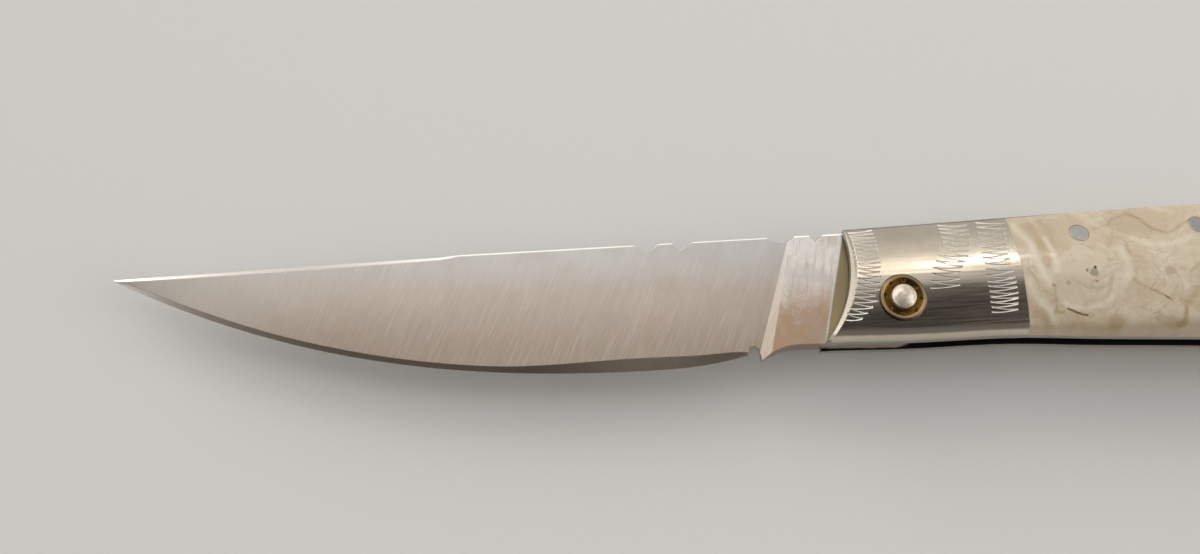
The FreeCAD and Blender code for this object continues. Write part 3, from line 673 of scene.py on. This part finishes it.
# Pivot pin: a steel rod through both bolsters, headed over by hand at each end in its rosette.
# The hammer leaves small flats on the dome, and polish and pocket wear soften them.
HEAD_PALE = (0.87, 0.78, 0.67, 1)
HEAD_SHADE = (0.57, 0.475, 0.38, 1)
HEAD_FLATS = 1500
HEAD_SOFTNESS = 0.7
HEAD_BUMP = 0.18
HEAD_DEPTH = 0.0001
HEAD_ROUGH = (0.35, 0.7, 0.5, 0.62)
STAIN_SCALE = 1300
STAIN_SPAN = (0.42, 0.7)

finish, tree, shader, place = new_finish("peened_steel")
_, eased = ease(tree, PLATE_EASE)
flat_sockets = {"Vector": place, "Scale": HEAD_FLATS, "Smoothness": HEAD_SOFTNESS}
flats = output(tree, "TexVoronoi", flat_sockets, feature="SMOOTH_F1")
stains = noise(tree, place, STAIN_SCALE, detail=4, rough=0.6)
fill(
    tree,
    shader,
    Base_Color=blend(tree, band(tree, stains, *STAIN_SPAN), HEAD_PALE, HEAD_SHADE),
    Metallic=1.0,
    Roughness=band(tree, stains, *HEAD_ROUGH),
    Normal=bump(tree, flats, HEAD_BUMP, HEAD_DEPTH, eased),
)
dress(finish, "pivot_pin")


# Scales: two slabs of pale burl, each from its own cut, glued to the liners and pinned, shaped on the grinder
# and polished to a gloss. Swirls run through them, with tan veins round the eyes, bark pits and a few cracks.
BURL_WHITE = (0.86, 0.785, 0.635, 1)
BURL_CREAM = (0.635, 0.515, 0.35, 1)
BURL_PALE = (0.745, 0.65, 0.50, 1)
BURL_ROSE = (0.62, 0.475, 0.345, 1)
BURL_TAN = (0.42, 0.285, 0.14, 1)
BURL_OLIVE = (0.41, 0.335, 0.17, 1)
BURL_BROWN = (0.23, 0.125, 0.045, 1)
BURL_BARK = (0.30, 0.265, 0.175, 1)
BURL_HOLE = (0.02, 0.015, 0.01, 1)
# The figure: its scales, and how far slow clouds push it and the marks about from their mean
MEAN_CLOUD = (0.5, 0.5, 0.5)
SWIRL_SCALE = 130
SWIRL_WARP = 0.0048
WOOD_SCALE = 210
WOOD_WARP = 0.0024
GRAIN_SCALE = 620
GRAIN_WARP = 0.0012
VEIN_SCALE = 300
VEIN_WARP = 0.001
RAGGED_SCALE = 1400
RAGGED_WARP = 0.0004
PATCH_SCALE = 150
RING_COUNT = 6.0
RING_HALF = 0.5
CELL_SCALE = 165
FINE_SCALE = 900
FADE_SCALE = 330
DIP_SCALE = 190
# The tones: where each begins and ends on its own figure, and how strong it gets
PATCH_SPAN = (0.36, 0.66)
ROSE_RINGS = (0.12, 0.5, 0, 0.6)
PALE_CELLS = (0.5, 1, 0, 0.5)
OLIVE_CELLS = (0.6, 1, 0, 0.25)
TAN_SPECKS = (0.48, 0.75, 0, 0.4)
FADE_SPAN = (0.36, 0.62)
FADE_SHARE = 0.4
THIN_LINE = (0.06, 0.0)
RING_LINES = 0.42
CELL_LINES = 0.18
EYE_CORE = 0.1
EYE_SHARE = 0.6
PIT_CORE = 0.5
PIT_SHARE = 0.85
CRACK_TONE = (0.1, 0.7, 0, 0.95)
HOLE_CORE = 0.6
PIN_GRIME_AND_SHADE = 0.00022
PIN_GRIME_AND_SHADE_SHARE = 0.75
BELLY_TAN_AND_SHADE = (-0.3, -0.9, 0, 0.5)
SURFACE_RISE = 0.6
BURL_ROUGH = (0.3, 1.2, 0.2, 0.5)
BURL_BUMP = 0.6
BURL_DEPTH = 0.00022
BURL_COAT = 0.65
BURL_COAT_ROUGH = 0.07
LEFT_DRIFT = (0, 0, 0)
RIGHT_DRIFT = (0.31, 0.17, 0.05)
PINS = [f"handle_pin_{number}" for number in range(1, 7)]
# Marks in side view, in millimetres: a vein, flow or crack has its width, its strength and a run of points;
# an eye, pit or hole has its middle and its reach
LEFT_VEINS = (
    (
        0.4,
        0.7,
        ((22.0, 10.1), (23.8, 10.6), (24.8, 11.6), (27.2, 12.3), (28.7, 11.3), (29.5, 9.9), (31.2, 8.9)),
    ),
    (0.35, 0.6, ((31.2, 8.9), (33.1, 9.6), (34.9, 10.4))),
    (0.35, 0.7, ((25.3, 1.9), (27.1, 0.7), (28.4, -0.2), (29.4, -1.0))),
    (0.4, 0.75, ((30.4, -0.9), (30.8, -1.8), (30.6, -3.1), (30.3, -3.9))),
    (0.5, 0.5, ((34.0, 3.9), (32.5, 2.8), (31.6, 3.2))),
    (0.9, 0.6, ((33.1, 0.4), (32.0, -0.5), (31.2, -1.2))),
    (0.35, 0.6, ((14.5, 2.1), (14.4, 0.0), (14.3, -1.4), (15.3, -1.4))),
    (0.4, 0.45, ((11.6, 4.5), (12.3, 3.3), (12.8, 1.7), (14.2, 0.7))),
    (0.4, 0.3, ((16.9, 3.2), (18.1, 2.1), (19.9, 1.2), (21.7, 1.8), (22.3, 3.0))),
    (0.4, 0.4, ((25.4, 7.6), (25.2, 6.4), (25.6, 5.7), (26.9, 5.4))),
    (1.1, 0.6, ((13.4, 11.4), (14.0, 9.5), (14.1, 7.4), (14.3, 5.3))),
    (1.3, 0.5, ((10.9, 0.4), (12.0, -1.4), (13.6, -3.4))),
    (1.2, 0.35, ((15.0, 12.0), (15.8, 10.0), (16.0, 7.5))),
    (1.2, 0.5, ((27.4, -3.0), (28.7, -3.7), (30.1, -4.0))),
    (0.45, 0.6, ((40.0, 8.4), (43.5, 7.0), (45.0, 4.2), (48.6, 2.8))),
    (0.4, 0.55, ((55.0, -2.0), (58.2, -0.6), (60.4, 1.8), (64.0, 2.6), (66.5, 5.0))),
    (1.2, 0.45, ((70.0, 6.2), (73.0, 3.0), (74.0, -1.0))),
    (0.4, 0.6, ((78.0, -6.0), (81.5, -4.6), (84.6, -5.2))),
    (0.45, 0.5, ((90.0, 1.0), (93.0, -1.2), (96.5, -1.8), (99.0, -4.6))),
)
LEFT_FLOWS = (
    (1.0, 0.8, ((11.6, 11.4), (12.7, 8.6), (13.1, 6.0), (13.3, 4.2), (14.0, 2.4))),
    (0.8, 0.7, ((15.2, 9.2), (15.4, 6.6), (15.2, 4.2))),
    (0.9, 0.6, ((11.4, 2.6), (12.2, 0.6), (13.6, -1.0), (14.2, -3.6))),
    (0.7, 0.6, ((15.6, -0.4), (17.0, -1.0), (19.0, -1.0), (21.0, -0.4), (22.6, 0.8))),
    (0.9, 0.5, ((24.4, 6.8), (24.6, 4.4), (24.2, 2.4), (23.0, 0.8))),
    (0.8, 0.5, ((26.4, 8.4), (28.6, 7.2), (31.4, 7.0), (34.0, 8.0))),
    (1.1, 0.6, ((38.0, 2.0), (41.0, -0.4), (45.0, -1.0))),
    (1.0, 0.6, ((50.0, 7.0), (53.0, 4.6), (57.0, 4.4))),
    (1.2, 0.55, ((66.0, -2.0), (69.0, -3.8), (73.0, -4.2))),
    (1.0, 0.5, ((85.0, 0.0), (88.0, -2.4), (91.0, -6.0))),
)
LEFT_CRACKS = (
    (0.3, 0.95, ((15.7, -1.1), (16.9, -1.72), (18.2, -1.95))),
    (0.25, 0.8, ((28.6, -0.3), (29.4, -1.0))),
    (0.25, 0.8, ((30.4, -0.9), (30.8, -1.6))),
    (0.3, 0.9, ((87.0, -3.0), (88.4, -3.6), (89.5, -3.5))),
)
LEFT_EYES = (
    ((29.8, 3.2), 1.2),
    ((24.9, 2.3), 0.6),
    ((14.5, 2.1), 0.5),
    ((16.5, 2.4), 0.6),
    ((30.3, -3.9), 1.0),
    ((22.1, -3.4), 1.8),
    ((47.0, -2.0), 1.2),
    ((61.5, 5.6), 0.9),
    ((76.0, 1.2), 1.1),
)
LEFT_PITS = (((20.0, 3.7), 0.75), ((20.1, 2.4), 0.25), ((19.2, 4.1), 0.22), ((62.0, -1.0), 0.5))
LEFT_HOLES = (((20.3, 4.35), 0.24), ((19.15, 4.0), 0.12))
RIGHT_VEINS = (
    (0.4, 0.7, ((12.6, 8.0), (15.4, 7.2), (17.8, 8.6), (20.0, 11.2))),
    (0.4, 0.6, ((23.0, 1.0), (26.0, 2.6), (27.4, 5.6), (30.5, 6.8), (33.4, 5.2))),
    (0.35, 0.7, ((16.0, -2.0), (18.4, 0.2), (21.4, 0.4))),
    (1.2, 0.6, ((11.4, 4.2), (13.4, 1.6), (14.2, -2.0))),
)
RIGHT_FLOWS = (
    (1.0, 0.7, ((21.0, 8.6), (23.4, 6.2), (24.2, 2.8))),
    (0.8, 0.6, ((33.0, -1.0), (36.0, 0.8), (38.4, 4.0))),
)
RIGHT_CRACKS = ((0.3, 0.95, ((24.2, -1.6), (25.6, -1.2), (26.8, -1.5))),)
RIGHT_EYES = (((17.2, 3.4), 1.3), ((31.0, 1.2), 0.8))
RIGHT_PITS = (((28.2, 8.2), 0.6),)
RIGHT_HOLES = (((28.4, 8.4), 0.2),)


def vein_mask():
    """A vein between two places in side view: strong along its middle, gone at its width."""
    places = [("Place", "Vector"), ("Start", "Vector"), ("End", "Vector")]
    takes_named = [*places, ("Width", "Float"), ("Strength", "Float")]
    group, takes, gives = new_group("vein", takes_named, [("Mask", "Float")])
    run = output(group, "VectorMath", {0: takes["End"], 1: takes["Start"]}, operation="SUBTRACT")
    reach = output(group, "VectorMath", {0: takes["Place"], 1: takes["Start"]}, operation="SUBTRACT")
    ahead = measured(group, reach, run, "DOT_PRODUCT")
    whole = measured(group, run, run, "DOT_PRODUCT")
    passed = combined(group, combined(group, ahead, whole, "DIVIDE"), 0, "MAXIMUM")
    foot = scaled(group, run, combined(group, passed, 1, "MINIMUM"))
    gap = measured(group, reach, foot, "DISTANCE")
    group.links.new(band(group, gap, takes["Width"], 0, 0, takes["Strength"]), gives["Mask"])


def stronger(tree, mask, other):
    """The stronger of two masks, or the other while there is no first one."""
    return other if mask is None else combined(tree, mask, other, "MAXIMUM")


def veins(tree, place, marks):
    """Veins along their guides, each with its own width and strength."""
    whole = None
    for width, strength, guide in marks:
        for start, end in zip(guide, guide[1:]):
            made = tree.nodes.new("ShaderNodeGroup")
            made.node_tree = bpy.data.node_groups["vein"]
            tree.links.new(place, made.inputs["Place"])
            made.inputs["Start"].default_value = Vector((*start, 0)) * MILLIMETRE
            made.inputs["End"].default_value = Vector((*end, 0)) * MILLIMETRE
            made.inputs["Width"].default_value = width * MILLIMETRE
            made.inputs["Strength"].default_value = strength
            whole = stronger(tree, whole, made.outputs["Mask"])
    return whole


def spots_at(tree, place, marks, core_share):
    """Round spots in side view, full out to a share of their reach."""
    whole = None
    for middle, reach in marks:
        gap = measured(tree, place, Vector((*middle, 0)) * MILLIMETRE, "DISTANCE")
        whole = stronger(tree, whole, band(tree, gap, reach * MILLIMETRE, reach * MILLIMETRE * core_share))
    return whole


def grime_and_shade_at_pins(tree, place):
    """Dark rings in the burl round the handle pins: partly grime, partly painted shade in the gap round each
    pin.
    """
    whole = None
    for pin in PINS:
        low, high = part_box(pin)
        middle = ((low[0] + high[0]) / 2, (low[1] + high[1]) / 2, 0)
        radius = (high[0] - low[0]) / 2
        gap = measured(tree, place, middle, "DISTANCE")
        whole = stronger(tree, whole, band(tree, gap, radius + PIN_GRIME_AND_SHADE, radius))
    return whole


def warped(tree, place, scale, amount):
    """A place pushed about by slow clouds."""
    clouds = add_node(tree, "TexNoise", {"Vector": place, "Scale": scale, "Detail": 2}).outputs["Color"]
    push = output(tree, "VectorMath", {0: clouds, 1: MEAN_CLOUD}, operation="SUBTRACT")
    sockets = {0: push, 1: (amount, amount, amount), 2: place}
    return output(tree, "VectorMath", sockets, operation="MULTIPLY_ADD")


def burl(name, drift, vein_marks, flows, cracks, eyes, pits, holes):
    """The burl of one slab: its own part of the figure, and its own marks."""
    finish, tree, shader, place = new_finish(name)
    outward = tree.nodes["Texture Coordinate"].outputs["Normal"]
    side_view = output(tree, "VectorMath", {0: place, 1: SIDE_VIEW}, operation="MULTIPLY")
    figure = added(tree, place, drift)
    swirls = warped(tree, figure, SWIRL_SCALE, SWIRL_WARP)
    wood = warped(tree, warped(tree, figure, WOOD_SCALE, WOOD_WARP), GRAIN_SCALE, GRAIN_WARP)
    mark_place = warped(tree, warped(tree, side_view, VEIN_SCALE, VEIN_WARP), RAGGED_SCALE, RAGGED_WARP)

    patches = noise(tree, wood, PATCH_SCALE, detail=3)
    growth = noise(tree, swirls, PATCH_SCALE, detail=2.5, swirl=1.4)
    rings = combined(tree, combined(tree, growth, RING_COUNT, "MULTIPLY"), RING_HALF, "PINGPONG")
    cell = add_node(tree, "TexVoronoi", {"Vector": wood, "Scale": CELL_SCALE}, feature="F1")
    rim = output(tree, "TexVoronoi", {"Vector": wood, "Scale": CELL_SCALE}, feature="DISTANCE_TO_EDGE")
    tone, depth, _ = add_node(tree, "SeparateColor", {0: cell.outputs["Color"]}).outputs
    fine = noise(tree, wood, FINE_SCALE, detail=5, rough=0.65)
    fade = band(tree, noise(tree, figure, FADE_SCALE), *FADE_SPAN)
    ring_line = both(tree, band(tree, rings, *THIN_LINE), fade)
    rim_line = both(tree, band(tree, rim, *THIN_LINE), fade)
    face = blend(tree, band(tree, patches, *PATCH_SPAN), BURL_CREAM, BURL_PALE)
    face = blend(tree, band(tree, rings, *ROSE_RINGS), face, BURL_ROSE)
    face = blend(tree, band(tree, tone, *PALE_CELLS), face, BURL_PALE)
    face = blend(tree, band(tree, depth, *OLIVE_CELLS), face, BURL_OLIVE)
    face = blend(tree, band(tree, fine, *TAN_SPECKS), face, BURL_TAN)
    face = blend(tree, band(tree, ring_line, 0, 1, 0, RING_LINES), face, BURL_TAN)
    face = blend(tree, band(tree, rim_line, 0, 1, 0, CELL_LINES), face, BURL_TAN)

    uneven = mixed(tree, FADE_SHARE, 1.0, fade)
    face = blend(tree, both(tree, veins(tree, mark_place, flows), uneven), face, BURL_WHITE)
    face = blend(tree, both(tree, veins(tree, mark_place, vein_marks), uneven), face, BURL_TAN)
    eye_spots = spots_at(tree, mark_place, eyes, EYE_CORE)
    face = blend(tree, band(tree, eye_spots, 0, 1, 0, EYE_SHARE), face, BURL_TAN)
    bark = spots_at(tree, mark_place, pits, PIT_CORE)
    face = blend(tree, band(tree, bark, 0, 1, 0, PIT_SHARE), face, BURL_BARK)
    crack_lines = veins(tree, mark_place, cracks)
    face = blend(tree, band(tree, crack_lines, *CRACK_TONE), face, BURL_BROWN)
    sunk = spots_at(tree, mark_place, holes, HOLE_CORE)
    face = blend(tree, sunk, face, BURL_HOLE)
    # dark rings round the handle pins: partly grime, partly painted shade in the gap round each pin
    stains = grime_and_shade_at_pins(tree, side_view)
    face = blend(tree, band(tree, stains, 0, 1, 0, PIN_GRIME_AND_SHADE_SHARE), face, BURL_BROWN)
    _, backward, _ = add_node(tree, "SeparateXYZ", {0: outward}).outputs
    # darker and browner towards the belly: partly the burl's own browner underside, partly painted shade
    # where the scale turns under
    face = blend(tree, band(tree, backward, *BELLY_TAN_AND_SHADE), face, BURL_TAN)

    wells = stronger(tree, stronger(tree, crack_lines, sunk), bark)
    dips = combined(tree, band(tree, wells, 0, 1, SURFACE_RISE, 0), noise(tree, wood, DIP_SCALE), "ADD")
    fill(
        tree,
        shader,
        Base_Color=face,
        Roughness=band(tree, combined(tree, fine, wells, "ADD"), *BURL_ROUGH),
        Normal=output(tree, "Bump", {"Height": dips, "Strength": BURL_BUMP, "Distance": BURL_DEPTH}),
        Coat_Weight=BURL_COAT,
        Coat_Roughness=BURL_COAT_ROUGH,
    )
    return finish


vein_mask()
dress(
    burl("left_burl", LEFT_DRIFT, LEFT_VEINS, LEFT_FLOWS, LEFT_CRACKS, LEFT_EYES, LEFT_PITS, LEFT_HOLES),
    "left_scale",
)
dress(
    burl(
        "right_burl",
        RIGHT_DRIFT,
        RIGHT_VEINS,
        RIGHT_FLOWS,
        RIGHT_CRACKS,
        RIGHT_EYES,
        RIGHT_PITS,
        RIGHT_HOLES,
    ),
    "right_scale",
)


# Handle pins: six steel rods through scales, liners and spacer, riveted and ground flush with the scales.
# Grinding leaves their faces finely scratched, and the last polish slightly cloudy.
PIN_STEEL = (0.50, 0.495, 0.475, 1)
PIN_SHADE = (0.34, 0.335, 0.32, 1)
PIN_EDGE = (0.66, 0.64, 0.60, 1)
PIN_LINES = (0.0016, 0.00016, 0.0016)
PIN_LEAN = math.radians(28)
PIN_ROUGH = 0.33
pin_finish = satin_metal(
    "ground_pin", PIN_STEEL, PIN_SHADE, PIN_EDGE, PIN_LEAN, PIN_LINES, PIN_ROUGH, PLATE_EASE
)
dress(pin_finish, *PINS)


# Studio: a plain floor of pale card under the knife, in a room that is dark overhead and paler round about.
# Soft boxes hang above, behind and at the right, and one bright patch of the room lights the spine.
FLOOR_COLOUR = (0.80, 0.79, 0.77, 1)
FLOOR_ROUGH = 0.9
FLOOR_HALF = 10
FLOOR_DROP = 0.00005
ROOM_DARK = (0.044, 0.04, 0.035, 1)
ROOM_BACK = (0.64, 0.63, 0.61, 1)
ROOM_FRONT = (0.2, 0.196, 0.19, 1)
ROOM_LEFT = (1.45, 1.44, 1.415, 1)
ROOM_RIGHT = (1.0, 0.99, 0.97, 1)
ROOM_HORIZON = (0.6, 0.59, 0.57, 1)
ROOM_PATCH = (4.2, 4.15, 4.05, 1)
PATCH_AIM = Vector((-0.43, 0.78, 0.43)).normalized()
BACK_SPAN = (0.0, 0.85)
FRONT_SPAN = (-0.35, -0.85)
LEFT_SPAN = (-0.55, -0.95)
RIGHT_SPAN = (0.55, 0.95)
PATCH_EDGE = (0.955, 0.985)
HORIZON_SPAN = (0.12, 0.02)
BACK_GLOW = (1.0, 0.93, 0.84)

floor_mesh = bpy.data.meshes.new("floor")
sheet = bmesh.new()
bmesh.ops.create_grid(sheet, x_segments=1, y_segments=1, size=FLOOR_HALF)
sheet.to_mesh(floor_mesh)
floor = new_piece("floor", floor_mesh)
floor.location.z = -FLOOR_DROP
floor_finish, tree, shader, _ = new_finish("floor_card")
fill(tree, shader, Base_Color=FLOOR_COLOUR, Roughness=FLOOR_ROUGH)
floor_mesh.materials.append(floor_finish)

world = bpy.data.worlds.new("studio")
bpy.context.scene.world = world
world.use_nodes = True
room = world.node_tree
look = room.nodes.new("ShaderNodeTexCoord").outputs["Generated"]
side, back, up = add_node(room, "SeparateXYZ", {0: look}).outputs
to_patch = measured(room, look, PATCH_AIM, "DOT_PRODUCT")
light = blend(room, band(room, back, *BACK_SPAN), ROOM_DARK, ROOM_BACK)
light = blend(room, band(room, back, *FRONT_SPAN), light, ROOM_FRONT)
light = blend(room, band(room, side, *LEFT_SPAN), light, ROOM_LEFT)
light = blend(room, band(room, side, *RIGHT_SPAN), light, ROOM_RIGHT)
light = blend(room, band(room, to_patch, *PATCH_EDGE), light, ROOM_PATCH)
light = blend(room, band(room, up, *HORIZON_SPAN), light, ROOM_HORIZON)
room.links.new(light, room.nodes["Background"].inputs["Color"])


def soft_box(name, place, aim, width, height, watts, turn=0, colour=(1, 1, 1)):
    """A soft box of light at a place, aimed at what it lights and turned about its aim."""
    lamp = bpy.data.lights.new(name, "AREA")
    lamp.shape = "RECTANGLE"
    lamp.size = width
    lamp.size_y = height
    lamp.energy = watts
    lamp.color = colour
    holder = new_piece(name, lamp)
    holder.location = place
    towards = (Vector(aim) - Vector(place)).to_track_quat("-Z", "Y")
    holder.rotation_euler = (towards @ Euler((0, 0, turn)).to_quaternion()).to_euler()


soft_box("top_box", (-0.14, 0.18, 0.5), (-0.14, 0.18, 0), 0.54, 0.24, watts=0.34, turn=math.radians(-20))
soft_box("crown_box", (0.2, 0.19, 0.5), (0.2, 0.19, 0), 0.16, 0.16, watts=0.05)
soft_box("gleam_box", (0.246, 0.48, 0.472), (0.012, 0.006, 0.012), 0.028, 0.05, watts=0.045)
soft_box("front_box", (1.24, -0.27, 0.85), (0.02, 0, 0), 1.0, 1.5, watts=6.4)
soft_box("back_box", (0.02, 0.475, 0.54), (0.02, 0, 0), 0.53, 0.26, watts=0.47, colour=BACK_GLOW)


# Camera: it looks down on the left side of the open knife from close by, a little from the belly's side.
# The rear half of the handle runs out of the frame on the right, as in the photograph.
CAMERA_TILT = math.radians(18)
CAMERA_ROLL = math.radians(3.5)
CAMERA_RANGE = 0.150
CAMERA_AIM = Vector((-0.0452343, 0.0088544, 0.00675))
CAMERA_SENSOR = 36
CAMERA_LENS = 32.625
CAMERA_NEAR = 0.005

camera_lens = bpy.data.cameras.new("camera")
camera_lens.sensor_fit = "HORIZONTAL"
camera_lens.sensor_width = CAMERA_SENSOR
camera_lens.lens = CAMERA_LENS
camera_lens.clip_start = CAMERA_NEAR
camera = new_piece("camera", camera_lens)
camera.rotation_euler = Euler((CAMERA_TILT, 0, -CAMERA_ROLL))
camera.location = CAMERA_AIM + camera.rotation_euler.to_matrix() @ Vector((0, 0, CAMERA_RANGE))
bpy.context.scene.camera = camera
bpy.context.scene.view_settings.view_transform = "Standard"
